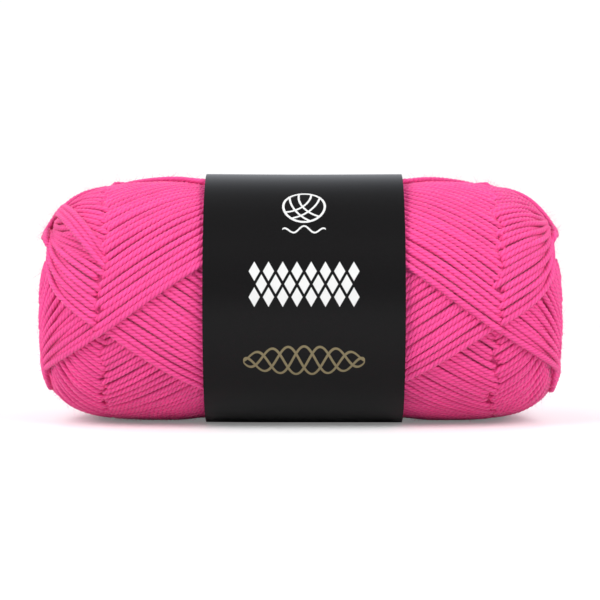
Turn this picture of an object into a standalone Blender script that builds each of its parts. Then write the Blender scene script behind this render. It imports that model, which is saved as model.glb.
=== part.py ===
"""A pull skein of four-ply cotton yarn, lying on its side in a wide paper band.

The skein's long axis runs along X. The front faces -Y, and the skein rests on Z = 0 on a narrow flat spot.
A skein winder lays the yarn in closed, slanting turns. After each turn it moves on by a third of a circle
and a little more, so three sheaves of turns grow side by side round the axis. Every place is crossed by
turns that rise to the right and turns that fall to the right, and the newer ones cover the older ones.

Three measures place a point of the yarn:
  run      the distance along the surface from the middle of the length, in metres, negative to the left
  azimuth  the angle round the long axis, in degrees: 0 faces the front, 90 is the top
  sweep    how far a turn has gone round since it turned back at an end, in degrees
A turn that turns back at azimuth A lies at A + sweep on one side of it and at A - sweep on the other. The
right end is the mirror image of the left one.
"""

import bisect
import math

import bmesh
import bpy

# The skein as a whole, in metres
SKEIN_LENGTH = 0.1246
SKEIN_HEIGHT = 0.0576
SKEIN_DEPTH = 0.0602
FLAT_SPOT_DEPTH = 0.0008
END_DROOP = 0.0022
DROOP_POWER = 6
END_POWER = 8.0
LEFT_SIDE_POWER = 2.1
RIGHT_SIDE_POWER = 2.35
SECTION_POWER = 2.15

# The dimple in each end, from which the inner end of the yarn is pulled
DIMPLE_RADIUS = 0.0115
DIMPLE_DEPTH = 0.0038

# The winding, in degrees except where it says metres
SHEAVES = 3
SHEAF_ANGLE = 360 / SHEAVES
NEWEST_TURN = 50.0
CROSSING_SWEEP = SHEAF_ANGLE / 2
CROSSING_RUN = 0.0432
RUN_PER_DEGREE = 0.00074
SHOULDER_RUN = 0.0178
SHOULDER_POWER = 3.0
TURN_THICKNESS = 0.0011
TURN_FADE_RUN = 0.004

# Ribs, each three neighbouring turns: two cells of crest, then a groove
COLUMNS = 108
CELL_ANGLE = 360 / COLUMNS
RIB_CELLS = 3
RIB_DEPTH = 0.0007
FIRST_CELL = 7
DIMPLE_RINGS = 5

# The paper band, in metres
BAND_WIDTH = 0.0446
BAND_MIDDLE = 0.0009
BAND_THICKNESS = 0.001
BAND_LAP = 0.014
BAND_LAP_RISE = 0.0007
BAND_LAP_EDGE = -146.0
BAND_PROUD = -0.0003
BAND_COLUMNS = 120
CLEARANCE = 0.00035
WALL_RUN = 0.0002

YARN_PINK = (0.90, 0.085, 0.31, 1.0)
PAPER_BLACK = (0.018, 0.018, 0.020, 1.0)

HALF_LENGTH = SKEIN_LENGTH / 2
HALF_HEIGHT = SKEIN_HEIGHT / 2
HALF_DEPTH = SKEIN_DEPTH / 2
AXIS_HEIGHT = HALF_HEIGHT - FLAT_SPOT_DEPTH
MEAN_RADIUS = (HALF_HEIGHT + HALF_DEPTH) / 2


def meridian_table(samples=1600):
    """The skein's outline from the left dimple to the right one, as rows of (run, x, radius)."""
    rows = []
    run = 0.0
    for step in range(samples + 1):
        turn = math.pi * step / samples
        side, side_power = (-1, LEFT_SIDE_POWER) if step < samples / 2 else (1, RIGHT_SIDE_POWER)
        x = side * HALF_LENGTH * abs(math.cos(turn)) ** (2 / END_POWER)
        radius = MEAN_RADIUS * math.sin(turn) ** (2 / side_power)
        if radius < DIMPLE_RADIUS:
            x -= side * DIMPLE_DEPTH * (1 - (radius / DIMPLE_RADIUS) ** 2) ** 2
        if rows:
            run += math.hypot(x - rows[-1][1], radius - rows[-1][2])
        rows.append((run, x, radius))
    half = rows[samples // 2][0]
    return [(run - half, x, radius) for run, x, radius in rows]


MERIDIAN = meridian_table()
MERIDIAN_RUNS = [row[0] for row in MERIDIAN]
LEFT_POLE, RIGHT_POLE = MERIDIAN_RUNS[0], MERIDIAN_RUNS[-1]


def on_meridian(run):
    """(x, radius) of the outline at a run, by straight lines between the table's rows."""
    at = min(max(bisect.bisect_left(MERIDIAN_RUNS, run), 1), len(MERIDIAN) - 1)
    before, after = MERIDIAN[at - 1], MERIDIAN[at]
    share = (run - before[0]) / (after[0] - before[0])
    share = min(max(share, 0.0), 1.0)
    return tuple(before[k] + share * (after[k] - before[k]) for k in (1, 2))


def section_radius(azimuth):
    """The cross-section's radius over the mean radius, for a slightly squared oval."""
    angle = math.radians(azimuth)
    across = abs(math.cos(angle) / HALF_DEPTH) ** SECTION_POWER
    upright = abs(math.sin(angle) / HALF_HEIGHT) ** SECTION_POWER
    return (across + upright) ** (-1 / SECTION_POWER) / MEAN_RADIUS


def skein_point(run, azimuth, lift, floor=0.0):
    """The place of a point of the skein, lifted off the outline along its normal and kept above a floor."""
    x, radius = on_meridian(run)
    nudge = 0.0005
    x_before, radius_before = on_meridian(run - nudge)
    x_after, radius_after = on_meridian(run + nudge)
    length = math.hypot(x_after - x_before, radius_after - radius_before)
    out_x = -(radius_after - radius_before) / length
    out_radius = (x_after - x_before) / length
    reach = radius * section_radius(azimuth) + lift * out_radius
    droop = END_DROOP * abs(x / HALF_LENGTH) ** DROOP_POWER
    angle = math.radians(azimuth)
    height = AXIS_HEIGHT - droop + reach * math.sin(angle)
    return x + lift * out_x, -reach * math.cos(angle), max(height, floor)


def run_of_sweep(sweep):
    """The distance from the middle at which a turn has swept this far. It runs straight, then rounds the end."""
    straight = (CROSSING_SWEEP - sweep) * RUN_PER_DEGREE
    if straight > 0:
        rounded = straight**-SHOULDER_POWER + SHOULDER_RUN**-SHOULDER_POWER
        return CROSSING_RUN + rounded ** (-1 / SHOULDER_POWER)
    return CROSSING_RUN + straight


def sweep_of_run(run):
    """How far a turn has swept where it passes a run. Past its turning point it is 0."""
    away = min(abs(run), run_of_sweep(0.0))
    straight = away - CROSSING_RUN
    if straight > 0:
        rounded = straight**-SHOULDER_POWER - SHOULDER_RUN**-SHOULDER_POWER
        straight = rounded ** (-1 / SHOULDER_POWER)
    return CROSSING_SWEEP - straight / RUN_PER_DEGREE


def ages(run, azimuth):
    """How old the top rising turn and the top falling turn are here, in degrees of their sheaf's advance."""
    sweep = sweep_of_run(run)
    rounding = 1e-4
    leading = (azimuth - NEWEST_TURN - sweep + rounding) % SHEAF_ANGLE
    trailing = (azimuth - NEWEST_TURN + sweep + rounding) % SHEAF_ANGLE
    return (leading, trailing) if run < 0 else (trailing, leading)


def wound_relief(run, azimuth):
    """How far the surface lies under the newest turns: the sheaves' steps, and the grooves between ribs."""
    rising, falling = ages(run, azimuth)
    steps = TURN_THICKNESS * (rising + falling) / SHEAF_ANGLE
    cells = min(rising, falling) / CELL_ANGLE
    groove = RIB_DEPTH * max(1 - abs(cells % RIB_CELLS - (RIB_CELLS - 1)), 0.0)
    past = abs(run) - run_of_sweep(0.0)
    inside = min(max(past / TURN_FADE_RUN, 0.0), 1.0)
    return -((steps + groove) * (1 - inside) + TURN_THICKNESS * inside)


def ring_stations():
    """A row for each ring of points, from the left dimple to the right one: (run, is it under the band)."""
    sweeps = [k * CELL_ANGLE for k in range(FIRST_CELL, round(SHEAF_ANGLE / CELL_ANGLE))]
    rows = []
    for side, pole in ((-1, LEFT_POLE), (1, RIGHT_POLE)):
        turning = side * run_of_sweep(sweeps[0])
        rows += [(pole + (turning - pole) * k / DIMPLE_RINGS, False) for k in range(1, DIMPLE_RINGS)]
        edge = BAND_WIDTH / 2 + CLEARANCE + side * BAND_MIDDLE
        beside = [run_of_sweep(sweep) for sweep in sweeps]
        beside = [away for away in beside if away > edge + CELL_ANGLE * RUN_PER_DEGREE / 2]
        beside.append(edge + WALL_RUN)
        rows += [(side * away, False) for away in beside]
        rows += [(side * edge * share, True) for share in (1.0, 0.45)]
    return sorted(rows)


def follows_rising(run, azimuth):
    """Whether the surface runs along the rising turns here: they are on top, or their newest one ends here."""
    rising, falling = ages(run, azimuth)
    beside_rising = (rising + CELL_ANGLE) % SHEAF_ANGLE < 1.5 * CELL_ANGLE
    beside_falling = (falling + CELL_ANGLE) % SHEAF_ANGLE < 1.5 * CELL_ANGLE
    if beside_rising != beside_falling:
        return beside_rising
    return rising < falling


def make_yarn(collection):
    """The wound yarn: a sphere's rings and columns, moved onto the skein's form and its ribs."""
    stations = ring_stations()
    mesh = bpy.data.meshes.new("yarn")
    form = bmesh.new()
    rings = len(stations) + 1
    bmesh.ops.create_uvsphere(form, u_segments=COLUMNS, v_segments=rings, radius=1.0)
    waist = -(BAND_THICKNESS + CLEARANCE) + BAND_PROUD
    place = {}
    for vert in form.verts:
        polar = math.atan2(math.hypot(vert.co.x, vert.co.y), -vert.co.z)
        ring = round(polar / math.pi * rings)
        column = math.floor(math.degrees(math.atan2(vert.co.y, vert.co.x)) / CELL_ANGLE + 0.25) % COLUMNS
        azimuth = column * CELL_ANGLE
        place[vert] = (ring, column)
        if ring in (0, rings):
            vert.co = skein_point(RIGHT_POLE if ring else LEFT_POLE, 0.0, -TURN_THICKNESS)
            continue
        run, banded = stations[ring - 1]
        if banded:
            vert.co = skein_point(run, azimuth, waist, BAND_THICKNESS + CLEARANCE)
        else:
            vert.co = skein_point(run, azimuth, wound_relief(run, azimuth))
    split_along_turns(form, place, stations)
    bmesh.ops.reverse_faces(form, faces=form.faces)
    form.to_mesh(mesh)
    form.free()
    yarn = bpy.data.objects.new("yarn", mesh)
    collection.objects.link(yarn)
    return yarn


def split_along_turns(form, place, stations):
    """Cuts each four-sided face along the turns on top there, so that the ribs run true."""
    for face in list(form.faces):
        corners = {place[vert]: vert for vert in face.verts}
        if len(corners) != 4:
            continue
        low_ring = min(ring for ring, _ in corners)
        columns = sorted({column for _, column in corners})
        first, second = columns if columns[1] - columns[0] == 1 else columns[::-1]
        run = (stations[low_ring - 1][0] + stations[low_ring][0]) / 2
        if follows_rising(run, (first + 0.5) * CELL_ANGLE):
            ends = (low_ring, first), (low_ring + 1, second)
        else:
            ends = (low_ring, second), (low_ring + 1, first)
        bmesh.utils.face_split(face, corners[ends[0]], corners[ends[1]])


def lap_rise(azimuth):
    """How far the band stands out where its glued end lies over its beginning."""
    past = (BAND_LAP_EDGE - azimuth) % 360
    lap_angle = math.degrees(BAND_LAP / MEAN_RADIUS)
    if past > lap_angle:
        return 0.0
    return BAND_LAP_RISE * (0.5 + 0.5 * math.cos(math.pi * past / lap_angle))


def make_band(collection):
    """The paper band: an open tube moved onto the skein's section, then given its thickness inwards."""
    mesh = bpy.data.meshes.new("band")
    tube = bmesh.new()
    bmesh.ops.create_cone(
        tube, segments=BAND_COLUMNS, radius1=1.0, radius2=1.0, depth=BAND_WIDTH, cap_ends=False
    )
    for vert in tube.verts:
        azimuth = math.degrees(math.atan2(vert.co.y, vert.co.x))
        lift = BAND_PROUD + lap_rise(azimuth)
        _, y, z = skein_point(0.0, azimuth, lift)
        vert.co = (BAND_MIDDLE + vert.co.z, y, z)
    bmesh.ops.reverse_faces(tube, faces=tube.faces)
    tube.to_mesh(mesh)
    tube.free()
    band = bpy.data.objects.new("band", mesh)
    collection.objects.link(band)
    solidify = band.modifiers.new("Paper thickness", "SOLIDIFY")
    solidify.thickness = BAND_THICKNESS
    solidify.offset = -1.0
    solidify.use_even_offset = True
    return band


def finish_surface(thing, name, colour, roughness):
    material = bpy.data.materials.new(name)
    material.use_nodes = True
    shader = material.node_tree.nodes["Principled BSDF"]
    shader.inputs["Base Color"].default_value = colour
    shader.inputs["Roughness"].default_value = roughness
    shader.inputs["Metallic"].default_value = 0.0
    thing.data.materials.append(material)
    thing.data.shade_smooth()


def main():
    for thing in list(bpy.data.objects):
        bpy.data.objects.remove(thing)
    collection = bpy.data.collections.new("Cotton yarn skein")
    bpy.context.scene.collection.children.link(collection)
    finish_surface(make_yarn(collection), "Pink cotton", YARN_PINK, 0.9)
    finish_surface(make_band(collection), "Black card", PAPER_BLACK, 0.5)


main()
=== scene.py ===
# %% [markdown]
# # A skein of cotton yarn in a paper band
# Fifty grams of four-ply cotton, machine wound into a long soft skein that lies on its side. The solid
# model gives the wound form with coarse ribs. This file lays real strands of yarn over that form, each one
# a rope of four plies, and wraps a thin sheet of black paper round the middle.

import math

import bmesh
import bpy
import numpy as np
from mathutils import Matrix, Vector


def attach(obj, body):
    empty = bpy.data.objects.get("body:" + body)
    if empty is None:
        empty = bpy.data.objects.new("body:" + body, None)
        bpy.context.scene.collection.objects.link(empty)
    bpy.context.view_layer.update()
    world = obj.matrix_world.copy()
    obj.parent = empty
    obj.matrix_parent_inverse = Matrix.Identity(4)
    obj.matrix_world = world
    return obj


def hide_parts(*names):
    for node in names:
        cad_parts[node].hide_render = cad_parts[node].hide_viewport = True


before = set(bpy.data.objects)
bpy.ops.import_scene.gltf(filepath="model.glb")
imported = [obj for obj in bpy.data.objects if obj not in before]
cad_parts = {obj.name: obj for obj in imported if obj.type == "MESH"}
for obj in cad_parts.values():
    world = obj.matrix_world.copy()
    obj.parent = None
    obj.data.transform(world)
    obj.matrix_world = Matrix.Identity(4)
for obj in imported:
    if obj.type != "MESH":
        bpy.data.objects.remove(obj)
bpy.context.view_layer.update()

# %% [markdown]
# The stage is what a catalogue picture needs and no more: a white table that runs to the horizon, a camera
# and a light tent. A wide lens close by would swell the middle of the skein and hide its ends, so a long lens
# looks from further off, a little above table height.

# %% The camera
MIDDLE = Vector((0.0, 0.0, 0.0276))
CAMERA_DISTANCE = 0.62
CAMERA_ELEVATION = 4.0
FIELD = 0.1380
FILM_WIDTH = 36.0


def put_in_scene(name, data):
    """A new object that is part of the scene."""
    made = bpy.data.objects.new(name, data)
    bpy.context.scene.collection.objects.link(made)
    return made


lens = bpy.data.cameras.new("Long lens")
lens.sensor_width = FILM_WIDTH
lens.lens = FILM_WIDTH * CAMERA_DISTANCE / FIELD
camera = put_in_scene("Camera", lens)
tilt = math.radians(CAMERA_ELEVATION)
camera.location = MIDDLE + CAMERA_DISTANCE * Vector((0.0, -math.cos(tilt), math.sin(tilt)))
camera.rotation_euler = (math.pi / 2 - tilt, 0.0, 0.0)
bpy.context.scene.camera = camera

print("The camera is", CAMERA_DISTANCE, "m away and", CAMERA_ELEVATION, "degrees above the table")

# %% [markdown]
# The light tent is a pair of large soft boxes, one to the left and one to the right of the camera, and two
# weaker ones above the ends of the skein. Small hard lamps would give every strand a sharp shadow, and cotton
# would look like plastic. No light stands near the camera, so the black paper has nothing bright to mirror
# and stays black on its front.

# %% The light tent
BOX_DISTANCE = 0.8
SOFT_BOXES = {
    "Left soft box": dict(azimuth=-50, elevation=36, size=0.5, watts=4.6),
    "Right soft box": dict(azimuth=46, elevation=36, size=0.5, watts=4.4),
    "Upper left soft box": dict(azimuth=-105, elevation=58, size=0.6, watts=1.55),
    "Upper right soft box": dict(azimuth=105, elevation=58, size=0.6, watts=1.15),
}


def soft_box(name, azimuth, elevation, size, watts):
    """A square lamp that looks at the middle of the skein. Azimuth 0 is the camera's side, in degrees."""
    light = bpy.data.lights.new(name, "AREA")
    light.shape = "SQUARE"
    light.size = size
    light.energy = watts
    lamp = put_in_scene(name, light)
    turn, tilt = math.radians(azimuth), math.radians(elevation)
    back = Vector((math.sin(turn) * math.cos(tilt), -math.cos(turn) * math.cos(tilt), math.sin(tilt)))
    lamp.location = MIDDLE + back * BOX_DISTANCE
    lamp.rotation_euler = back.to_track_quat("Z", "Y").to_euler()


for name, settings in SOFT_BOXES.items():
    soft_box(name, **settings)

# %% [markdown]
# The table is one large flat grid. The Standard view transform keeps white paper white, where a film-like
# one would grey it.

# %% The table
TABLE_REACH = 6.0

table_mesh = bpy.data.meshes.new("Table")
table_form = bmesh.new()
bmesh.ops.create_grid(table_form, x_segments=2, y_segments=2, size=TABLE_REACH)
table_form.to_mesh(table_mesh)
table_form.free()
table = put_in_scene("Table", table_mesh)

bpy.context.scene.view_settings.view_transform = "Standard"
bpy.context.scene.cycles.use_denoising = True
print("The table is", 2 * TABLE_REACH, "m wide")

# %% [markdown]
# Shader nodes are long to write out by hand, and a text that repeats the same three lines for each of them is
# hard to follow. So a few small helpers place a node, fill its inputs and join it up.


# %% Helpers for nodes
def node(tree, kind, inputs=None, **settings):
    """Adds a node. Its inputs are given values or joined to other nodes' outputs."""
    made = tree.nodes.new(kind)
    for name, value in settings.items():
        setattr(made, name, value)
    for name, value in (inputs or {}).items():
        socket = made.inputs[name]
        if isinstance(value, bpy.types.NodeSocket):
            tree.links.new(value, socket)
        else:
            socket.default_value = value
    return made


def maths(tree, operation, *values, clamp=False):
    """The output of one Math node."""
    inputs = dict(enumerate(values))
    return node(tree, "ShaderNodeMath", inputs, operation=operation, use_clamp=clamp).outputs[0]


def mixed(tree, share, first, second):
    """The output of a node that mixes two colours."""
    return node(tree, "ShaderNodeMix", {0: share, 6: first, 7: second}, data_type="RGBA").outputs[2]


def noise(tree, place, scale, detail):
    """Noise from 0 to 1 over places that are stretched by a scale."""
    spread = node(tree, "ShaderNodeMapping", {"Vector": place, "Scale": scale}).outputs[0]
    inputs = {"Vector": spread, "Scale": 1.0, "Detail": detail}
    return node(tree, "ShaderNodeTexNoise", inputs).outputs["Fac"]


print("Helpers:", node.__name__, maths.__name__, mixed.__name__, noise.__name__)

# %% [markdown]
# The pale room is the world. A white world would light the skein flat from all sides, so the room is dim, and
# stronger behind the skein, which gives the top of the black paper its soft edge of light. Only the camera
# sees it as plain white. Loose fibres vanish before a background far brighter than white, so it is just over.

# %% The pale room
WHITE = (1.0, 1.0, 1.0, 1.0)
JUST_OVER_WHITE = 1.02
ROOM_COLOUR = (0.89, 0.93, 1.0, 1.0)
ROOM_LIGHT = 0.28
ROOM_LIGHT_BEHIND = 0.78
BEHIND_FROM = 0.3
BEHIND_TO = 0.9

world = bpy.data.worlds.new("Pale room")
bpy.context.scene.world = world
world.use_nodes = True
room = world.node_tree
room.nodes.clear()
room_ray = node(room, "ShaderNodeLightPath")
way = node(room, "ShaderNodeTexCoord").outputs["Generated"]
parts = node(room, "ShaderNodeSeparateXYZ", {"Vector": way}).outputs
behind_range = {"Value": parts["Y"], "From Min": BEHIND_FROM, "From Max": BEHIND_TO}
behind = node(room, "ShaderNodeMapRange", behind_range).outputs[0]
strength = maths(room, "MULTIPLY_ADD", behind, ROOM_LIGHT_BEHIND, ROOM_LIGHT)
dim = node(room, "ShaderNodeBackground", {"Color": ROOM_COLOUR, "Strength": strength}).outputs[0]
white = node(room, "ShaderNodeBackground", {"Color": WHITE, "Strength": JUST_OVER_WHITE}).outputs[0]
both = node(room, "ShaderNodeMixShader", {0: room_ray.outputs["Is Camera Ray"], 1: dim, 2: white})
node(room, "ShaderNodeOutputWorld", {"Surface": both.outputs[0]})
print("The room's light runs from", ROOM_LIGHT, "to", round(ROOM_LIGHT + ROOM_LIGHT_BEHIND, 2))

# %% [markdown]
# A studio table is overlit, so that it leaves no edge in the picture, yet the skein still stands in its own
# shadow. Near the skein the table is a matt white with a faint glow that only the camera sees, painted light
# that lightens the skein's shadow on it, and away from it the camera sees it fade into the white of the room.
# The light that the table throws back at the skein stays the same.

# %% The table's white
TABLE_COLOUR = (0.86, 0.86, 0.86, 1.0)
TABLE_LIFT = 0.18
FADE_FROM = 0.07
FADE_TO = 0.30

table_white = bpy.data.materials.new("White table")
table_white.use_nodes = True
board_tree = table_white.node_tree
board = board_tree.nodes["Principled BSDF"]
board.inputs["Base Color"].default_value = TABLE_COLOUR
board.inputs["Roughness"].default_value = 0.8
board.inputs["Specular IOR Level"].default_value = 0.1
spot = node(board_tree, "ShaderNodeTexCoord").outputs["Object"]
far = node(board_tree, "ShaderNodeVectorMath", {0: spot}, operation="LENGTH").outputs["Value"]
fade_range = {"Value": far, "From Min": FADE_FROM, "From Max": FADE_TO}
fade = node(board_tree, "ShaderNodeMapRange", fade_range).outputs[0]
seen = node(board_tree, "ShaderNodeLightPath").outputs["Is Camera Ray"]
board.inputs["Emission Color"].default_value = WHITE
# Painted light: a faint glow for the camera only, which lightens the shadow under the skein.
board_tree.links.new(maths(board_tree, "MULTIPLY", seen, TABLE_LIFT), board.inputs["Emission Strength"])
overlit = node(board_tree, "ShaderNodeEmission", {"Color": WHITE, "Strength": JUST_OVER_WHITE}).outputs[0]
share = maths(board_tree, "MULTIPLY", fade, seen)
blended = node(board_tree, "ShaderNodeMixShader", {0: share, 1: board.outputs[0], 2: overlit})
board_tree.links.new(blended.outputs[0], board_tree.nodes["Material Output"].inputs["Surface"])
table.data.materials.append(table_white)
print("The table fades to white from", FADE_FROM, "to", FADE_TO, "m away from the skein's middle")

# %% [markdown]
# A skein winder lays the yarn in closed, slanting turns, and moves on by a third of a circle and a little
# more after each. Three sheaves of turns grow side by side, and newer turns cover older ones. The numbers
# below are those of the solid model, so every strand lands on its form. A place on the skein is a run (the
# distance along the surface from the middle) and an azimuth (0 faces the front, 90 is the top).

# %% The winding's numbers, in metres and degrees
HALF_LENGTH = 0.0623
HALF_HEIGHT = 0.0288
HALF_DEPTH = 0.0301
AXIS_HEIGHT = 0.0280
MEAN_RADIUS = (HALF_HEIGHT + HALF_DEPTH) / 2
END_POWER = 8.0
LEFT_SIDE_POWER = 2.1
RIGHT_SIDE_POWER = 2.35
SECTION_POWER = 2.15
DIMPLE_RADIUS = 0.0115
DIMPLE_DEPTH = 0.0038
END_DROOP = 0.0022
DROOP_POWER = 6
NEWEST_TURN = 50.0
END_TWIST = {-1: 0.0, 1: 2.0}
CROSSING_SWEEP = 60.0
CROSSING_RUN = 0.0432
RUN_PER_DEGREE = 0.00074
SHOULDER_RUN = 0.0178
LEADING_SHOULDER_RUN = 0.0225
SHOULDER_POWER = 3.0
TURN_THICKNESS = 0.0011
SHEAVES = 3
SHEAF_ANGLE = 120.0
TURNS = 34
TURN_ANGLE = SHEAF_ANGLE / TURNS
BAND_WIDTH = 0.0446
BAND_MIDDLE = 0.0009
BAND_PROUD = -0.0003
print("Each of", SHEAVES, "sheaves has", TURNS, "turns,", round(TURN_ANGLE, 2), "degrees apart")

# %% [markdown]
# Seen from the front the skein is a rounded box, with a hollow in each end. A superellipse gives that outline
# with two powers and no drawn curve. It is turned into a table of the distance along the surface, so that a
# strand can be laid by that distance, as thread is.


# %% The outline from end to end
def outline_table(samples=2400):
    """The skein's outline from end to end: arrays of run, x and radius."""
    turn = np.linspace(0.0, np.pi, samples + 1)
    left = turn < np.pi / 2
    side = np.where(left, -1.0, 1.0)
    x = side * HALF_LENGTH * np.abs(np.cos(turn)) ** (2 / END_POWER)
    radius = MEAN_RADIUS * np.abs(np.sin(turn)) ** (2 / np.where(left, LEFT_SIDE_POWER, RIGHT_SIDE_POWER))
    dimple = np.clip(1 - (radius / DIMPLE_RADIUS) ** 2, 0.0, None) ** 2
    x = x - side * DIMPLE_DEPTH * dimple
    run = np.concatenate([[0.0], np.cumsum(np.hypot(np.diff(x), np.diff(radius)))])
    return run - run[samples // 2], x, radius


RUNS, XS, RADII = outline_table()
POLE_RUNS = {-1: -RUNS[0], 1: RUNS[-1]}
print("From the middle to the poles of the ends:", [round(run * 1000, 1) for run in POLE_RUNS.values()], "mm")

# %% [markdown]
# One function turns a run, an azimuth and a lift off the surface into a point in space. The section is a soft
# square, the ends droop a little, and nothing goes below the table.


# %% A place on the skein
def skein_point(run, azimuth, lift, floor=0.0):
    """Points of the skein and the directions out of it, for arrays of runs, azimuths and lifts."""
    nudge = 0.0005
    x, radius = np.interp(run, RUNS, XS), np.interp(run, RUNS, RADII)
    along_x = np.interp(run + nudge, RUNS, XS) - np.interp(run - nudge, RUNS, XS)
    along_radius = np.interp(run + nudge, RUNS, RADII) - np.interp(run - nudge, RUNS, RADII)
    length = np.hypot(along_x, along_radius)
    out_x, out_radius = -along_radius / length, along_x / length
    angle = np.radians(azimuth)
    across = np.abs(np.cos(angle) / HALF_DEPTH) ** SECTION_POWER
    upright = np.abs(np.sin(angle) / HALF_HEIGHT) ** SECTION_POWER
    oval = (across + upright) ** (-1 / SECTION_POWER) / MEAN_RADIUS
    reach = radius * oval + lift * out_radius
    droop = END_DROOP * np.abs(x / HALF_LENGTH) ** DROOP_POWER
    height = np.maximum(AXIS_HEIGHT - droop + reach * np.sin(angle), floor)
    place = np.stack([x + lift * out_x, -reach * np.cos(angle), height], -1)
    out = np.stack([out_x, -out_radius * np.cos(angle), out_radius * np.sin(angle)], -1)
    return place, out


top_of_middle, _ = skein_point(np.zeros(1), np.full(1, 90.0), np.zeros(1))
print("The top of the middle is", round(float(top_of_middle[0, 2]) * 1000, 1), "mm above the table")

# %% [markdown]
# A turn is followed from where it turns back at an end of the skein towards the middle. Its sweep is how far
# round it has gone since. Real turns don't turn back at a corner: near the end they swing round in a wide
# bow, and older turns swing in closer to the axis.

# %% How a turn swings round an end
TURNING_SPREAD = 0.00027
SPREAD_SWEEP = 20.0


def ease(share):
    """0 to 1 with a gentle start and a gentle end."""
    share = np.clip(share, 0.0, 1.0)
    return share * share * (3 - 2 * share)


def away_from_middle(sweep, turn, hand):
    """The distance from the middle at which a turn has swept this far. Older turns turn back further in."""
    swept = np.abs(sweep)
    straight = np.abs(CROSSING_SWEEP - swept) * RUN_PER_DEGREE + 1e-9
    shoulder = np.where((hand > 0) & (sweep > 0), LEADING_SHOULDER_RUN, SHOULDER_RUN)
    shoulder = SHOULDER_RUN + (shoulder - SHOULDER_RUN) * ease(swept / SPREAD_SWEEP)
    rounded = (straight**-SHOULDER_POWER + shoulder**-SHOULDER_POWER) ** (-1 / SHOULDER_POWER)
    spread = TURNING_SPREAD * turn * np.clip(1 - (swept / SPREAD_SWEEP) ** 2, 0.0, None) ** 2
    return CROSSING_RUN + np.where(swept < CROSSING_SWEEP, rounded + spread, -straight)


turning_places = [float(away_from_middle(np.zeros(1), turn, 1)[0]) for turn in (0, TURNS - 1)]
print("The newest and the oldest turn back at", [round(place * 1000, 1) for place in turning_places], "mm")

# %% [markdown]
# Handling leaves its marks on a soft skein. At the upper left three turns have slipped up over their
# neighbours. The layer below shows where they lay, and the turns beside them have spread to fill part of the
# gap. Without such marks a wound skein looks like a machine part.

# %% Turns that have slipped
SLIPPED_GROUP = (-1, 0, -1)
SLIPPED_TURNS = (8, 9, 10)
SLIP_ANGLE = 30.0
SLIP_SWEEP = 21.5
SLIP_POWER = 1.25
SLIP_FAN = 3.4
SPREAD_BESIDE_SLIP = 48.0


def slip(end, sheaf, turn, hand, sweep):
    """How far a turn has slipped round from its even place, and how much of it rides on its neighbours."""
    none = np.zeros_like(sweep)
    if (end, sheaf, hand) != SLIPPED_GROUP:
        return none, none
    before = np.clip(CROSSING_SWEEP - sweep, 0.0, None)
    if turn in SLIPPED_TURNS:
        most = SLIP_ANGLE + SLIP_FAN * (turn - SLIPPED_TURNS[1])
        extra = most * np.clip(before / SLIP_SWEEP, 0.0, 1.2) ** SLIP_POWER
        return extra, ease(extra / (1.5 * TURN_ANGLE))
    spread = np.sin(np.pi * np.clip(before / SPREAD_BESIDE_SLIP, 0.0, 1.0)) ** 2
    if turn < SLIPPED_TURNS[0]:
        return 1.2 * TURN_ANGLE * spread * (turn + 1) / SLIPPED_TURNS[0], none
    return -0.9 * TURN_ANGLE * spread * math.exp(-(turn - SLIPPED_TURNS[-1]) / 6), none


most_slipped, _ = slip(*SLIPPED_GROUP[:2], SLIPPED_TURNS[-1], SLIPPED_GROUP[2], np.zeros(1))
print("The turn that slipped most moved", round(float(most_slipped[0]), 1), "degrees")

# %% [markdown]
# Of the two hands of turns, the leading one lies at its start plus its sweep and the trailing one at its
# start minus its sweep. At each place only the newer of the two shows, and a turn lies the lower the more
# turns have come over it.
#
# A stretch ends in one of two ways. Under the newest turn of a sheaf it passes straight on, because that turn
# lies a whole thickness higher. Where the two hands are equally old they meet in a zigzag line, and there it
# has to dive under its neighbour. The paper band pinches all of them a little at its edges.

# %% The line that a turn follows
THICKNESS = 0.00150
PINCH_DEPTH = 0.0006
PINCH_REACH = 0.0045
SLIP_RAISE = 0.0010
TURNING_OVERLAP = 8.0
DIVE_TURNS = 0.55


def centre_line(end, sheaf, turn, hand, zone, sweep, tie=0.0, nudge=0.0, slips=True):
    """Run, azimuth and lift of a turn's upper side. The number of the turn may lie between two turns."""
    age = turn * TURN_ANGLE
    low, high = CROSSING_SWEEP * (zone - 1), CROSSING_SWEEP * zone
    extra, riding = slip(end, sheaf, turn, hand, sweep) if slips else (0.0 * sweep, 0.0 * sweep)
    if hand > 0:
        other_age = age + 2 * (sweep - low)
        before = (low + tie - sweep) / TURN_ANGLE
        dive = ease(-sweep / TURNING_OVERLAP) if zone == 1 else ease((before - 0.05) / DIVE_TURNS)
    else:
        other_age = age + 2 * (high - sweep)
        dive = ease((sweep - high - tie) / TURN_ANGLE / DIVE_TURNS + 1)
    away = away_from_middle(sweep, turn, hand)
    depth = TURN_THICKNESS * (age + other_age + 2 * extra) / SHEAF_ANGLE
    band_edge = BAND_WIDTH / 2 + end * BAND_MIDDLE
    pinch = PINCH_DEPTH * np.exp(-(((away - band_edge) / PINCH_REACH) ** 2))
    lift = -depth - THICKNESS * dive - pinch + SLIP_RAISE * riding
    azimuth = NEWEST_TURN + END_TWIST[end] + SHEAF_ANGLE * sheaf + age + hand * sweep + extra + nudge
    return end * away, azimuth, lift


_, _, lifts = centre_line(1, 0, TURNS - 1, 1, 2, np.full(1, CROSSING_SWEEP))
print("At the crossing the oldest turn lies", round(-float(lifts[0]) * 1000, 2), "mm deep")

# %% [markdown]
# Each turn is cut into the stretches that show, and every stretch runs on a little under what covers it.
# Whole turns would be simpler, but most of their length is never seen and would cost millions of faces. The
# zigzag is never quite straight on a real skein, so each pair of turns meets a little early or late, strands
# wander a little, and where the room is narrow every other strand is squeezed down.

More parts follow.
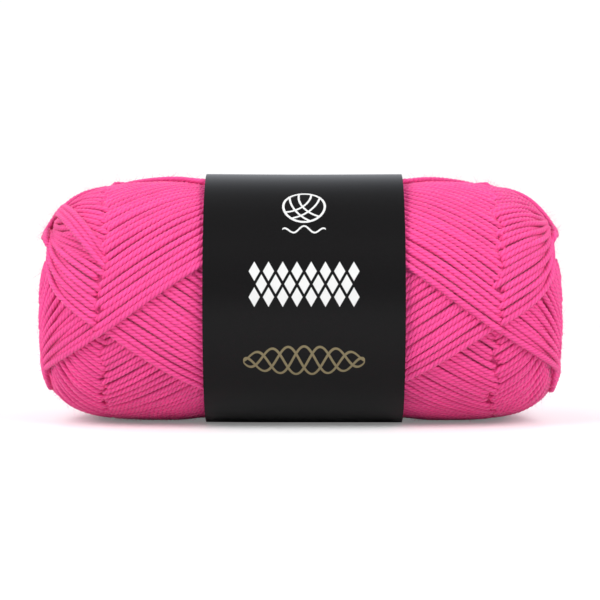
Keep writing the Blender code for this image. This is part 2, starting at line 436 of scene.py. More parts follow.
# %% One stretch of a turn
HIDDEN_TURNS = 0.95
UNDER_BAND = 0.0015
LAYER_BELOW = 0.0006
NARROWEST = 0.93
WIDEST = 1.04
FLOOR_GAP = 0.00084
CROWD_DEPTH = 0.00105
CROWD_FROM = 0.98
CROWD_RANGE = 0.32
SHORTEST_TURNS = 1.5
DRIFT = 0.4
RIPPLE = 0.22
PATH_SAMPLES = 260


def room_between(lines, ahead):
    """How wide a strand can be, as a share of its full width, from the places half a turn to either side."""
    before, after = (skein_point(*line)[0] for line in lines)
    apart = np.linalg.norm(np.cross(after - before, ahead), axis=1)
    return np.clip(apart / THICKNESS, 0.0, WIDEST)


def direction(points):
    """The direction of a path at each of its points."""
    ahead = np.gradient(points, axis=0)
    return ahead / np.linalg.norm(ahead, axis=1)[:, None]


def stretch(end, sheaf, turn, hand, zone, tie, shift, wobble, sink=0.0, below=False):
    """One stretch's centre line, outward directions and widths, or None where none of it shows."""
    age = turn * TURN_ANGLE
    low, high = CROSSING_SWEEP * (zone - 1), CROSSING_SWEEP * zone
    covered = min(age / 2, CROSSING_SWEEP)
    hidden = HIDDEN_TURNS * TURN_ANGLE
    if hand > 0:
        first = -TURNING_OVERLAP if zone == 1 else low + tie - 0.9 * TURN_ANGLE
        last = high - covered + hidden
    else:
        first, last = low + covered - hidden, high + tie + 0.6 * TURN_ANGLE
    band_edge = BAND_WIDTH / 2 + end * BAND_MIDDLE
    last = min(last, CROSSING_SWEEP + (CROSSING_RUN - band_edge + UNDER_BAND) / RUN_PER_DEGREE)
    if (end, sheaf, hand) == SLIPPED_GROUP and turn in SLIPPED_TURNS and not below:
        first = max(first, (age + SLIP_ANGLE) / 2 - hidden)
    if last - first < SHORTEST_TURNS * TURN_ANGLE:
        return None
    sweep = np.linspace(first, last, PATH_SAMPLES)
    drift = DRIFT * np.sin(0.55 * turn + sweep / 13.0 + 2.1 * sheaf + 1.3 * end)
    nudge = shift + drift + RIPPLE * np.sin(sweep / 6.0 + wobble)
    run, azimuth, lift = centre_line(end, sheaf, turn, hand, zone, sweep, tie, nudge, not below)
    sides = [centre_line(end, sheaf, turn + side, hand, zone, sweep, slips=False) for side in (-0.5, 0.5)]
    points, _ = skein_point(run, azimuth, lift)
    space = room_between(sides, direction(points))
    _, riding = slip(end, sheaf, turn, hand, sweep)
    width = np.maximum(space, NARROWEST + (1 - NARROWEST) * riding * (not below))
    crowded = ease((CROWD_FROM - space) / CROWD_RANGE)
    sunk = CROWD_DEPTH * crowded * (sink + (turn % 2)) / 1.3 * (1 - riding)
    lift = lift - THICKNESS * width / 2 - LAYER_BELOW * below - sunk
    points, outs = skein_point(run, azimuth, lift, FLOOR_GAP)
    return points, outs, width


trial, _, _ = stretch(-1, 0, 3, 1, 1, 0.0, 0.0, 0.0)
trial_length = float(np.linalg.norm(np.diff(trial, axis=0), axis=1).sum())
print("One stretch is", round(trial_length * 1000, 1), "mm long")

# %% [markdown]
# The yarn is four plies twisted together, and that rope form is what makes cotton yarn look like yarn, so it
# is modelled. A ring of twelve points goes round the strand, three to each ply: two on its back and one in
# the groove beside it. From ring to ring the points turn against the clock, which draws the plies as helices.
# The same rings give a map of the surface for the fibres, and a flat layout of all strands in rows, where
# each point of the yarn has its own place.

# %% A rope of four plies along a path
PLIES = 4
PITCH = 0.0047
RING_STEP = 0.00063
PLY_POINTS = ((-19.0, 0.00079, 0.0), (19.0, 0.00079, 0.0), (45.0, 0.00061, 1.0))
RING = [(90.0 * ply + angle, radius, groove_shade) for ply in range(PLIES) for angle, radius, groove_shade in PLY_POINTS]
RING_ANGLES = np.radians([row[0] for row in RING])
RING_RADII = np.array([row[1] for row in RING])
RING_GROOVES = np.array([row[2] for row in RING])
AROUND = len(RING)
PLY_SHADE = 0.75
SHADE_START = 0.74
SHADE_RANGE = 0.80


def rope(points, outs, widths, phase, pitch):
    """A rope along a path: its points, the painted shade at each point, its faces and the numbers for its
    maps.
    """
    steps = np.linalg.norm(np.diff(points, axis=0), axis=1)
    travelled = np.concatenate([[0.0], np.cumsum(steps)])
    count = max(int(round(travelled[-1] / RING_STEP)), 3)
    at = np.linspace(0.0, travelled[-1], count + 1)
    path = np.stack([np.interp(at, travelled, points[:, axis]) for axis in range(3)], -1)
    out = np.stack([np.interp(at, travelled, outs[:, axis]) for axis in range(3)], -1)
    width = np.interp(at, travelled, widths)
    ahead = direction(path)
    out -= ahead * np.sum(out * ahead, axis=1)[:, None]
    out /= np.linalg.norm(out, axis=1)[:, None]
    side = np.cross(ahead, out)
    angle = RING_ANGLES[None, :] + (phase - 2 * np.pi * at / pitch)[:, None]
    reach = RING_RADII[None, :, None] * width[:, None, None]
    ring = np.cos(angle)[..., None] * out[:, None] + np.sin(angle)[..., None] * side[:, None]
    skin = (path[:, None] + reach * ring).reshape(-1, 3)
    verts = np.concatenate([skin, path[:1], path[-1:]])
    # Painted shade: points that face sideways, where a strand meets its neighbours, and points in the grooves
    # between plies are marked darker.
    sunk = np.clip((SHADE_START - np.cos(angle)) / SHADE_RANGE, 0.0, 1.0) + PLY_SHADE * RING_GROOVES[None, :]
    groove_shades = np.concatenate([np.clip(sunk, 0.0, 1.0).ravel(), [1.0, 1.0]])
    rows, columns = np.meshgrid(np.arange(count), np.arange(AROUND), indexing="ij")
    near, far = rows * AROUND, (rows + 1) * AROUND
    after = (columns + 1) % AROUND
    quads = np.stack([near + columns, far + columns, far + after, near + after], -1).reshape(-1, 4)
    turned = np.concatenate([angle, angle[:, :1] + 2 * np.pi], axis=1)
    corners = np.stack([turned[:-1, :-1], turned[1:, :-1], turned[1:, 1:], turned[:-1, 1:]], -1)
    corners = corners.reshape(-1, 4)
    lengths = np.stack([at[rows], at[rows + 1], at[rows + 1], at[rows]], -1).reshape(-1, 4)
    columns_at = np.stack([columns, columns, columns + 1, columns + 1], -1).reshape(-1, 4)
    ring_numbers = np.arange(AROUND)
    next_numbers = (ring_numbers + 1) % AROUND
    start, stop = len(skin), len(skin) + 1
    top = count * AROUND
    first_cap = np.stack([np.full(AROUND, start), ring_numbers, next_numbers], -1)
    last_cap = np.stack([np.full(AROUND, stop), top + next_numbers, top + ring_numbers], -1)
    caps = np.concatenate([first_cap, last_cap])
    return verts, groove_shades, quads, caps, corners, lengths, columns_at, travelled[-1]


print("A metre of yarn takes", round(2 * AROUND / RING_STEP), "triangles")

# %% [markdown]
# All stretches of one sheaf at one end of the skein become one mesh. Building it from arrays is many times
# faster than adding faces one by one. Two maps go with it: "Fibres" tells the material which way the cotton
# fibres run and how far along a strand it is, and a second one lays the strands out flat in rows.

# %% Ropes into one mesh
FLAT_MAP = "OFBake"
ROW_HEIGHT = 0.0056
ROW_GAP = 0.0006
ROW_MARGIN = 0.04
YARN_RADIUS = THICKNESS / 2
TINT_SHIFT = 0.37
MAP_SHARE = 0.98
CAP_CORNER = 0.995


def rope_mesh(name, ropes, tints):
    """A mesh of many ropes, with the attributes for painted groove shade and for tint, and its two maps."""
    flat_width = math.sqrt(sum(each[7] for each in ropes) * ROW_HEIGHT) * 1.05
    verts, groove_shades, shades, quads, caps, fibres, flats = [], [], [], [], [], [], []
    base, cursor, row = 0, 0.0, 0
    for each, tint in zip(ropes, tints):
        points, groove_shade, quad, cap, corner, length, column, whole = each
        if cursor + whole > flat_width:
            cursor, row = 0.0, row + 1
        verts.append(points)
        groove_shades.append(groove_shade)
        shades.append(np.full(len(points), tint))
        quads.append(quad + base)
        caps.append(cap + base)
        fibres.append(np.stack([corner * YARN_RADIUS, length + tint * TINT_SHIFT], -1).reshape(-1, 2))
        across = (row + ROW_MARGIN + (1 - 2 * ROW_MARGIN) * column / AROUND) * ROW_HEIGHT
        flats.append(np.stack([cursor + length, across], -1).reshape(-1, 2))
        cursor += whole + ROW_GAP
        base += len(points)
    verts = np.concatenate(verts)
    quads, caps = np.concatenate(quads), np.concatenate(caps)
    mesh = bpy.data.meshes.new(name)
    mesh.vertices.add(len(verts))
    mesh.vertices.foreach_set("co", verts.astype(np.float32).ravel())
    corners = np.concatenate([quads.ravel(), caps.ravel()])
    starts = np.concatenate([np.arange(len(quads)) * 4, len(quads) * 4 + np.arange(len(caps)) * 3])
    mesh.loops.add(len(corners))
    mesh.loops.foreach_set("vertex_index", corners.astype(np.int32))
    mesh.polygons.add(len(starts))
    mesh.polygons.foreach_set("loop_start", starts.astype(np.int32))
    mesh.update(calc_edges=True)
    size = max(flat_width, (row + 1) * ROW_HEIGHT)
    for title, parts, scale in (("Fibres", fibres, 1.0), (FLAT_MAP, flats, MAP_SHARE / size)):
        layer = mesh.uv_layers.new(name=title)
        spots = np.zeros((len(corners), 2))
        spots[: len(quads) * 4] = np.concatenate(parts) * scale
        if title == FLAT_MAP:
            spots[len(quads) * 4 :] = CAP_CORNER
        layer.uv.foreach_set("vector", spots.astype(np.float32).ravel())
    # The first attribute is painted shade in the grooves and on the sides of strands; tint is each strand's
    # own random tone.
    for title, values in (("groove_shade", np.concatenate(groove_shades)), ("tint", np.concatenate(shades))):
        mesh.attributes.new(title, "FLOAT", "POINT").data.foreach_set("value", values.astype(np.float32))
    mesh.shade_smooth()
    mesh.validate()
    return mesh


# %% [markdown]
# Now the winding itself. A winder is regular but not perfect, so each turn is shifted by a little chance, its
# twist varies by a few hundredths, and its colour too. The chance comes from a seeded generator, which gives
# the same skein on every run. Older turns show only in the hollow of each end. They pass the axis as chords,
# each a little lower and nearer than the one before, and leave a small hole in the middle.

# %% Wind the six groups of turns
chance = np.random.default_rng(8)
INNER_TURNS = 38
INNER_STEPS = (0, 11, 37)
INNER_ROWS = (
    (-48.0, 0.0, 264.0),
    (0.0176, 0.0164, 0.0030),
    (0.0250, 0.0240, 0.0120),
    (0.0025, 0.0023, 0.0040),
)
INNER_BEHIND = 0.0065
INNER_WIDTH = 0.97
INNER_SCATTER = 0.0008
INNER_SAMPLES = 60
RIM_DIVE = 0.0011
TAIL_DIVE = 0.0014
END_NAMES = {-1: "left", 1: "right"}
TIES = np.clip(chance.normal(0.0, 1.1, (2, SHEAVES, TURNS)), -2.0, 2.0)
GAPS = TURN_ANGLE * np.clip(chance.uniform(-1.0, 0.36, (2, SHEAVES, TURNS)), 0.0, None)


def wind(end, sheaf):
    """The ropes of one sheaf at one end of the skein, a tint for each, and their centre lines."""
    ropes, tints, lines = [], [], []
    for turn in range(TURNS + INNER_TURNS):
        for hand in (1, -1):
            shift = float(np.clip(chance.normal(0.0, 0.2), -0.45, 0.45))
            wobble, phase = chance.uniform(0, 6.28, 2)
            pitch = PITCH * chance.normal(1.0, 0.03)
            tint, sink = chance.uniform(0, 1, 2) * (1.0, 0.4)
            if turn >= TURNS:
                if hand > 0:
                    ropes.append(rope(*inner_stretch(end, sheaf, turn, shift, wobble), phase, pitch))
                    tints.append(tint)
                continue
            for zone in (1, 2):
                pair = sheaf if hand < 0 else (sheaf + 1) % SHEAVES
                place = ((end + 1) // 2, pair, turn)
                tie = float(TIES[place] + hand * GAPS[place])
                line = stretch(end, sheaf, turn, hand, zone, tie, shift, wobble, sink)
                if line is None:
                    continue
                ropes.append(rope(*line, phase + zone, pitch))
                tints.append(tint)
                lines.append(line)
            if (end, sheaf, hand) == SLIPPED_GROUP and turn in SLIPPED_TURNS:
                line = stretch(end, sheaf, turn, hand, 1, 0.0, -shift, wobble, below=True)
                ropes.append(rope(*line, phase, pitch))
                tints.append(0.0)
    return ropes, tints, lines


def inner_stretch(end, sheaf, turn, shift, wobble):
    """An older turn in the hollow of an end. The rows give its angle, nearest place, reach and depth."""
    angle, nearest, reach, depth = (float(np.interp(turn - TURNS, INNER_STEPS, row)) for row in INNER_ROWS)
    nearest += INNER_SCATTER * shift
    ahead = math.sqrt(max(reach**2 - nearest**2, INNER_BEHIND**2))
    along = np.linspace(-INNER_BEHIND, ahead, INNER_SAMPLES)
    from_axis = np.hypot(nearest, along)
    start = NEWEST_TURN + END_TWIST[end] + SHEAF_ANGLE * (sheaf + 1) + angle + 2.0 * math.sin(wobble)
    azimuth = start + np.degrees(np.arctan2(along, nearest))
    dive = RIM_DIVE * ease((from_axis - 0.0140) / 0.0045) + TAIL_DIVE * ease((-along - 0.0035) / 0.0030)
    width = np.full(len(along), INNER_WIDTH)
    run = end * (POLE_RUNS[end] - 1.02 * from_axis)
    points, outs = skein_point(run, azimuth, -depth - dive - THICKNESS * width / 2, FLOOR_GAP)
    return points, outs, width


sheaf_pieces = []
all_lines = []
for end in (-1, 1):
    for sheaf in range(SHEAVES):
        title = f"yarn_{END_NAMES[end]}_sheaf_{sheaf + 1}"
        ropes, tints, lines = wind(end, sheaf)
        all_lines += lines
        mesh = rope_mesh(title, ropes, tints)
        piece = put_in_scene(title, mesh)
        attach(piece, "root")
        sheaf_pieces.append(piece)
        metres = sum(each[7] for each in ropes)
        print(title, len(ropes), "stretches,", round(metres, 2), "m,", len(mesh.polygons) * 2, "triangles")

# %% [markdown]
# Under the strands that show lie hundreds of older turns. Nobody sees them, but without them light would
# shine right through the skein, so one closed form of the same yarn fills the inside. It follows the
# sheaves' steps a little below the strands, and sinks towards the hole in each end. Its colour is painted
# shade, darker still towards the hole.


# %% The inner winding
FORM_COLUMNS = 108
FORM_ROWS = 96
FORM_BELOW = 0.00118
FORM_FLOOR = 0.0016
HOLLOW_DEPTH = 0.0038
HOLE_DEPTH = 0.0020
HOLE_START = 0.72
FORM_SHADE = -0.6
HOLE_SHADE = -5.0


def inner_form(name):
    """A ball of faces, each point moved to its place under the strands."""
    form = bmesh.new()
    bmesh.ops.create_uvsphere(form, u_segments=FORM_COLUMNS, v_segments=FORM_ROWS, radius=1.0)
    places = np.array([vert.co for vert in form.verts])
    polar = np.arctan2(np.hypot(places[:, 0], places[:, 1]), -places[:, 2])
    azimuth = np.degrees(np.arctan2(places[:, 1], places[:, 0]))
    share = polar / np.pi * 2 - 1
    run = share * np.where(share < 0, POLE_RUNS[-1], POLE_RUNS[1])
    turning = float(away_from_middle(np.zeros(1), 0, -1)[0])
    straight = np.minimum(np.abs(run), turning - 1e-6) - CROSSING_RUN
    rounded = np.maximum(straight, 1e-6) ** -SHOULDER_POWER - SHOULDER_RUN**-SHOULDER_POWER
    straight = np.where(straight > 0, rounded ** (-1 / SHOULDER_POWER), straight)
    sweep = CROSSING_SWEEP - straight / RUN_PER_DEGREE
    leading = (azimuth - NEWEST_TURN - sweep) % SHEAF_ANGLE
    trailing = (azimuth - NEWEST_TURN + sweep) % SHEAF_ANGLE
    steps = TURN_THICKNESS * (leading + trailing) / SHEAF_ANGLE
    ends = np.where(run < 0, POLE_RUNS[-1], POLE_RUNS[1])
    hollow = np.clip((np.abs(run) - turning) / (ends - turning), 0.0, 1.0)
    steps = steps + (2 * TURN_THICKNESS - steps) * ease(6 * hollow)
    hole = ease((hollow - HOLE_START) / (1 - HOLE_START))
    lift = -steps - FORM_BELOW - HOLLOW_DEPTH * np.sqrt(hollow) - HOLE_DEPTH * hole
    spots, _ = skein_point(run, azimuth, lift, FORM_FLOOR)
    for vert, spot in zip(form.verts, spots):
        vert.co = spot
    bmesh.ops.reverse_faces(form, faces=form.faces)
    mesh = bpy.data.meshes.new(name)
    form.to_mesh(mesh)
    form.free()
    # Painted shade: the whole form is darkened, and far more towards the hole in each end.
    shade = FORM_SHADE + HOLE_SHADE * hollow**2
    mesh.attributes.new("tint", "FLOAT", "POINT").data.foreach_set("value", shade.astype(np.float32))
    mesh.shade_smooth()
    return mesh


inside = put_in_scene("yarn_inner_winding", inner_form("yarn_inner_winding"))
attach(inside, "root")
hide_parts("yarn")
print("The inner winding spans", np.round(np.array(inside.dimensions) * 1000, 1), "mm")

# %% [markdown]
# Cotton takes its look from three things: the dye, with painted shade in the grooves between plies and where
# strands meet; the fibres, which draw fine streaks along the strand; and a faint bloom of loose ends that
# catches light at the edges. The first two are one node group, used by the strands, the inside and the loose
# fibres. The bloom is the sheen of the shader.


# %% The group of nodes for dyed cotton
def new_group(name, inputs, outputs):
    """A group of nodes with named inputs and outputs, and its two end nodes."""
    group = bpy.data.node_groups.new(name, "ShaderNodeTree")
    for title, kind, value in inputs:
        socket = group.interface.new_socket(name=title, in_out="INPUT", socket_type=kind)
        if value is not None:
            socket.default_value = value
    for title, kind in outputs:
        group.interface.new_socket(name=title, in_out="OUTPUT", socket_type=kind)
    return group, node(group, "NodeGroupInput"), node(group, "NodeGroupOutput")


FIBRE_STREAKS = (9000, 700, 1)
SLUBS = (300, 90, 1)
GROOVE_SHADE_SHARE = 0.85


def dyed_cotton_group():
    """Colour, fibre height and roughness of dyed cotton, from its dye, its streak and shade colour, painted
    groove shade, tint and fibre map.
    """
    inputs = (
        ("Dye", "NodeSocketColor", (0.9, 0.08, 0.3, 1.0)),
        ("Streak and shade pink", "NodeSocketColor", (0.6, 0.02, 0.12, 1.0)),
        ("Groove shade", "NodeSocketFloat", 0.0),
        ("Tint", "NodeSocketFloat", 0.5),
        ("Fibre map", "NodeSocketVector", None),
    )
    outputs = (
        ("Colour", "NodeSocketColor"),
        ("Fibre height", "NodeSocketFloat"),
        ("Roughness", "NodeSocketFloat"),
    )
    group, given, result = new_group("Dyed cotton", inputs, outputs)
    streaks = noise(group, given.outputs["Fibre map"], FIBRE_STREAKS, 3.0)
    slubs = noise(group, given.outputs["Fibre map"], SLUBS, 2.0)
    # Painted shade: the groove shade mark, added to the fibre streaks, mixes the dye towards the darker
    # streak and shade colour.
    sunk = maths(group, "MULTIPLY", given.outputs["Groove shade"], GROOVE_SHADE_SHARE)
    dark = maths(group, "MULTIPLY_ADD", streaks, -0.9, 0.45)
    share = maths(group, "ADD", sunk, dark, clamp=True)
    colour = mixed(group, share, given.outputs["Dye"], given.outputs["Streak and shade pink"])
    shade = maths(group, "MULTIPLY_ADD", given.outputs["Tint"], 0.10, 0.93)
    bright = maths(group, "MULTIPLY_ADD", slubs, 0.34, -0.14)
    value = maths(group, "ADD", shade, bright)
    shaded = node(group, "ShaderNodeHueSaturation", {"Color": colour, "Value": value})
    rough = maths(group, "MULTIPLY_ADD", streaks, 0.25, 0.55)
    group.links.new(shaded.outputs[0], result.inputs["Colour"])
    group.links.new(streaks, result.inputs["Fibre height"])
    group.links.new(rough, result.inputs["Roughness"])
    return group


DYED_COTTON = dyed_cotton_group()
DYE = (0.85, 0.053, 0.272, 1.0)
# The second colour is painted shade for grooves, gaps and hollows, and also the dark of the fibre streaks.
STREAK_AND_SHADE_PINK = (0.52, 0.012, 0.145, 1.0)
given_out = [item.name for item in DYED_COTTON.interface.items_tree if item.in_out == "OUTPUT"]
print("Group", DYED_COTTON.name, "gives", given_out)

# %% [markdown]
# The strands' material joins the group to the mesh: the painted groove shade and the tint come from the
# mesh's attributes, and the fibre map from its map. The inner winding has no groove mark and no map, so it is
# painted nearly all over in the darker streak and shade colour, as painted shade for the gaps and hollows
# where it shows, and runs its streaks round the form. Its tint is more painted shade, which makes the hole in
# each end dark.


# %% The pink cotton
SHEEN_TINT = (1.0, 0.75, 0.85, 1.0)
ALL_SHADE = 1.1


def cotton_material(name, groove_shade, tint, fibre_vector):
    """Pink cotton. The painted groove shade and the tint are numbers or the names of attributes."""
    material = bpy.data.materials.new(name)
    material.use_nodes = True
    tree = material.node_tree
    shader = tree.nodes["Principled BSDF"]
    given = {"Dye": DYE, "Streak and shade pink": STREAK_AND_SHADE_PINK}
    for title, value in (("Groove shade", groove_shade), ("Tint", tint)):
        if isinstance(value, str):
            value = node(tree, "ShaderNodeAttribute", attribute_name=value).outputs["Fac"]
        given[title] = value
    given["Fibre map"] = fibre_vector(tree)
    cotton = node(tree, "ShaderNodeGroup", node_tree=DYED_COTTON)
    for title, value in given.items():
        if isinstance(value, bpy.types.NodeSocket):
            tree.links.new(value, cotton.inputs[title])
        else:
            cotton.inputs[title].default_value = value
    relief = {"Height": cotton.outputs["Fibre height"], "Strength": 0.6, "Distance": 0.00008}
    bump = node(tree, "ShaderNodeBump", relief)
    shader.inputs["Base Color"].default_value = DYE
    tree.links.new(cotton.outputs["Colour"], shader.inputs["Base Color"])
    tree.links.new(cotton.outputs["Roughness"], shader.inputs["Roughness"])
    tree.links.new(bump.outputs[0], shader.inputs["Normal"])
    shader.inputs["Specular IOR Level"].default_value = 0.5
    shader.inputs["Sheen Weight"].default_value = 0.32
    shader.inputs["Sheen Roughness"].default_value = 0.4
    shader.inputs["Sheen Tint"].default_value = SHEEN_TINT
    return material


def from_map(tree):
    """The fibre map of the strands."""
    return node(tree, "ShaderNodeUVMap", uv_map="Fibres").outputs[0]


def from_place(tree):
    """A map for pieces without one, from their place in the room."""
    place = node(tree, "ShaderNodeTexCoord").outputs["Object"]
    return node(tree, "ShaderNodeMapping", {"Vector": place, "Scale": (1.0, 0.2, 1.0)}).outputs[0]


pink_cotton = cotton_material("Pink cotton", "groove_shade", "tint", from_map)
# Painted shade: the inside is given the darker streak and shade colour nearly all over.
hidden_cotton = cotton_material("Pink cotton inside", ALL_SHADE, "tint", from_place)
for piece in sheaf_pieces:
    piece.data.materials.append(pink_cotton)
inside.data.materials.append(hidden_cotton)
print("Materials:", pink_cotton.name, "and", hidden_cotton.name)

# %% [markdown]
# Cotton is spun from short fibres, and some of their ends always stand away from the yarn. They are what
# makes the outline soft. Ten thousand of them are grown here as thin tapered tubes with three sides, each
# starting on the skin of a strand, leaning along it and bending back.


# %% The loose fibres
FIBRES = 10000
FIBRE_RADIUS = 0.000021
FIBRE_POINTS = 3
FIBRE_SIDES = 3
FIBRE_LENGTHS = (0.0006, 0.0023)
FIBRE_TINT = 1.6
SKIN_SHARE = 0.49
CLEAR_OF_BAND = 0.0022
OFF_TABLE = 0.0001


def loose_fibres(name, lines):
    """One mesh of short curved fibres that stand out from the strands."""
    weights = np.array([len(line[0]) * np.linalg.norm(line[0][-1] - line[0][0]) for line in lines])
    picks = chance.choice(len(lines), FIBRES, p=weights / weights.sum())
    share = np.linspace(0.0, 1.0, FIBRE_POINTS)[:, None]
    corners = 2 * np.pi * np.arange(FIBRE_SIDES) / FIBRE_SIDES
    verts = np.zeros((FIBRES, FIBRE_POINTS, FIBRE_SIDES, 3))
    for number, pick in enumerate(picks):
        points, outs, widths = lines[pick]
        free = np.flatnonzero(np.abs(points[2:-2, 0] - BAND_MIDDLE) > BAND_WIDTH / 2 + CLEAR_OF_BAND)
        at = chance.choice(free) + 2
        ahead = points[at + 1] - points[at - 1]
        ahead /= np.linalg.norm(ahead)
        angle = chance.uniform(-1.3, 1.3)
        lean = math.cos(angle) * outs[at] + math.sin(angle) * np.cross(ahead, outs[at])
        start = points[at] + lean * THICKNESS * widths[at] * SKIN_SHARE
        heading = lean * chance.uniform(0.3, 1.1) + ahead * chance.choice((-1, 1)) * chance.uniform(0.3, 1.0)
        heading += chance.normal(0.0, 0.3, 3)
        length = chance.uniform(*FIBRE_LENGTHS)
        bend = chance.normal(0.0, 0.35, 3) - 0.25 * lean
        course = start + length * (heading * share + bend * share**2)
        course[:, 2] = np.maximum(course[:, 2], OFF_TABLE)
        aside = np.cross(heading, outs[at])
        aside /= np.linalg.norm(aside) + 1e-9
        upright = np.cross(heading, aside)
        upright /= np.linalg.norm(upright) + 1e-9
        ring = np.cos(corners)[:, None] * aside + np.sin(corners)[:, None] * upright
        verts[number] = course[:, None] + FIBRE_RADIUS * (1 - 0.75 * share)[:, None] * ring
    rings = np.arange(FIBRES)[:, None] * FIBRE_POINTS + np.arange(FIBRE_POINTS - 1)
    near = rings[:, :, None] * FIBRE_SIDES
    far = near + FIBRE_SIDES
    corner = np.arange(FIBRE_SIDES)
    after = (corner + 1) % FIBRE_SIDES
    quads = np.stack([near + corner, far + corner, far + after, near + after], -1).reshape(-1, 4)
    mesh = bpy.data.meshes.new(name)
    mesh.from_pydata(verts.reshape(-1, 3), [], quads)
    mesh.shade_smooth()
    return mesh


fuzz = put_in_scene("loose_fibres", loose_fibres("loose_fibres", all_lines))
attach(fuzz, "root")
fuzz.data.materials.append(cotton_material("Pink cotton fibre", 0.0, FIBRE_TINT, from_place))
print(FIBRES, "loose fibres,", len(fuzz.data.polygons) * 2, "triangles")

# %% [markdown]
# The band is one strip of paper, wrapped round and glued where its end lies over its beginning, low at the
# back. It is modelled as that strip: a grid that goes once round and on over its own start, given the
# thickness of paper by a Solidify modifier.

# %% The paper band
LAP = 0.014
LAP_EDGE = -146.0
LAP_ANGLE = math.degrees(LAP / MEAN_RADIUS)
PAPER = 0.00016
STRIP_ROWS = 180
STRIP_COLUMNS = 14
EDGE_COLUMN = 0.996
UNDER_LAP_RISE = 0.00019
UNDER_LAP_SLOPE = 7.0
LAP_RISE = 0.00022
LAP_SLOPE = 9.0
STRIP_SINK = 0.0001
EDGE_RIPPLE = 0.00005
WIDE_RIPPLE = 0.00006


def paper_strip(name):
    """The strip as a grid of faces with a map in millimetres, and its length."""
    mesh = bpy.data.meshes.new(name)
    form = bmesh.new()
    bmesh.ops.create_grid(form, x_segments=STRIP_COLUMNS, y_segments=STRIP_ROWS, size=0.5)
    places = np.array([vert.co for vert in form.verts])
    across, along = places[:, 0] * 2, places[:, 1] + 0.5
    near_edge = (np.abs(across) > 0.8) & (np.abs(across) < 0.99)
    across = np.where(near_edge, np.sign(across) * EDGE_COLUMN, across)
    azimuth = LAP_EDGE - LAP_ANGLE + along * (360 + LAP_ANGLE)
    under_lap, lap_end = azimuth - (LAP_EDGE - LAP_ANGLE + 360), azimuth - (LAP_EDGE + 360)
    over = ease(under_lap / UNDER_LAP_SLOPE + 1) * UNDER_LAP_RISE
    lifted = ease(lap_end / LAP_SLOPE + 1) * LAP_RISE
    ripple = EDGE_RIPPLE * np.sin(np.radians(azimuth * 5) + 1.3 * across) * np.abs(across) ** 3
    ripple += WIDE_RIPPLE * np.sin(np.radians(azimuth * 3) - 2.0 * across)
    lift = BAND_PROUD - STRIP_SINK + over + lifted + ripple
    run = across * BAND_WIDTH / 2
    spots, _ = skein_point(np.zeros(len(run)), azimuth, lift, PAPER)
    spots[:, 0] = BAND_MIDDLE + run
    for vert, spot in zip(form.verts, spots):
        vert.co = spot
    form.to_mesh(mesh)
    form.free()
    layer = mesh.uv_layers.new(name="Print")
    arc = np.radians(azimuth) * MEAN_RADIUS
    vertex = np.zeros(len(mesh.loops), np.int32)
    mesh.loops.foreach_get("vertex_index", vertex)
    print_map = np.stack([run[vertex] * 1000, arc[vertex] * 1000], -1)
    layer.uv.foreach_set("vector", print_map.astype(np.float32).ravel())
    mesh.shade_smooth()
    return mesh, float(np.radians(360 + LAP_ANGLE) * MEAN_RADIUS)


strip_mesh, strip_length = paper_strip("paper_band")
band = put_in_scene("paper_band", strip_mesh)
thickness = band.modifiers.new("Paper thickness", "SOLIDIFY")
thickness.thickness = PAPER
thickness.offset = 0.0
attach(band, "root")
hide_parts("band")
print("The strip is", round(strip_length * 1000, 1), "mm long and", BAND_WIDTH * 1000, "mm wide")

# %% [markdown]
# The band's print is drawn with maths instead of a picture, so it stays sharp at any distance. Each motif is
# a small group of nodes that measures how far a place on the paper lies inside a line, in millimetres, and
# turns that into a mask with a soft edge. The first motif is a ring. A few rings, cut off by the disc of a
# larger one, make a line drawing of a ball of yarn.

# %% The ring motif
SOFT_EDGE = 0.10


def mask_of(group, inside):
    """1 where the distance inside a shape is above zero, with a soft edge."""
    return maths(group, "MULTIPLY_ADD", inside, 1 / SOFT_EDGE, 0.0, clamp=True)


def numbers(*titles):
    """Inputs of a group that are plain numbers."""
    return tuple((title, "NodeSocketFloat", 0.0) for title in titles)


def place_in(group, given):
    """How far across and how far above the motif's centre a place lies."""
    apart = node(group, "ShaderNodeSeparateXYZ", {"Vector": given.outputs["Place"]}).outputs
    return apart["X"], maths(group, "SUBTRACT", apart["Y"], given.outputs["Centre up"])


def ring_group():
    """A ring line, and the disc inside it."""
    inputs = (("Place", "NodeSocketVector", None), *numbers("Centre across", "Centre up", "Radius", "Line"))
    outputs = (("Mask", "NodeSocketFloat"), ("Disc", "NodeSocketFloat"))
    group, given, result = new_group("Ring", inputs, outputs)
    across, up = place_in(group, given)
    across = maths(group, "SUBTRACT", across, given.outputs["Centre across"])
    squares = maths(group, "ADD", maths(group, "MULTIPLY", across, across), maths(group, "MULTIPLY", up, up))
    beyond = maths(group, "SUBTRACT", maths(group, "SQRT", squares), given.outputs["Radius"])
    half = maths(group, "MULTIPLY", given.outputs["Line"], 0.5)
    inside = maths(group, "SUBTRACT", half, maths(group, "ABSOLUTE", beyond))
    group.links.new(mask_of(group, inside), result.inputs["Mask"])
    group.links.new(mask_of(group, maths(group, "MULTIPLY", beyond, -1.0)), result.inputs["Disc"])
    return group


RING_MARK = ring_group()
print("Motif:", RING_MARK.name)

# %% [markdown]
# Rows of diamonds remind of a knitted sock. In each row the place across is cut into equal cells, and a
# diamond is where the distances from a cell's middle, across and up, add up to less than a limit.

# %% The motif of a row of diamonds
DIAMOND_SHARE = 0.41


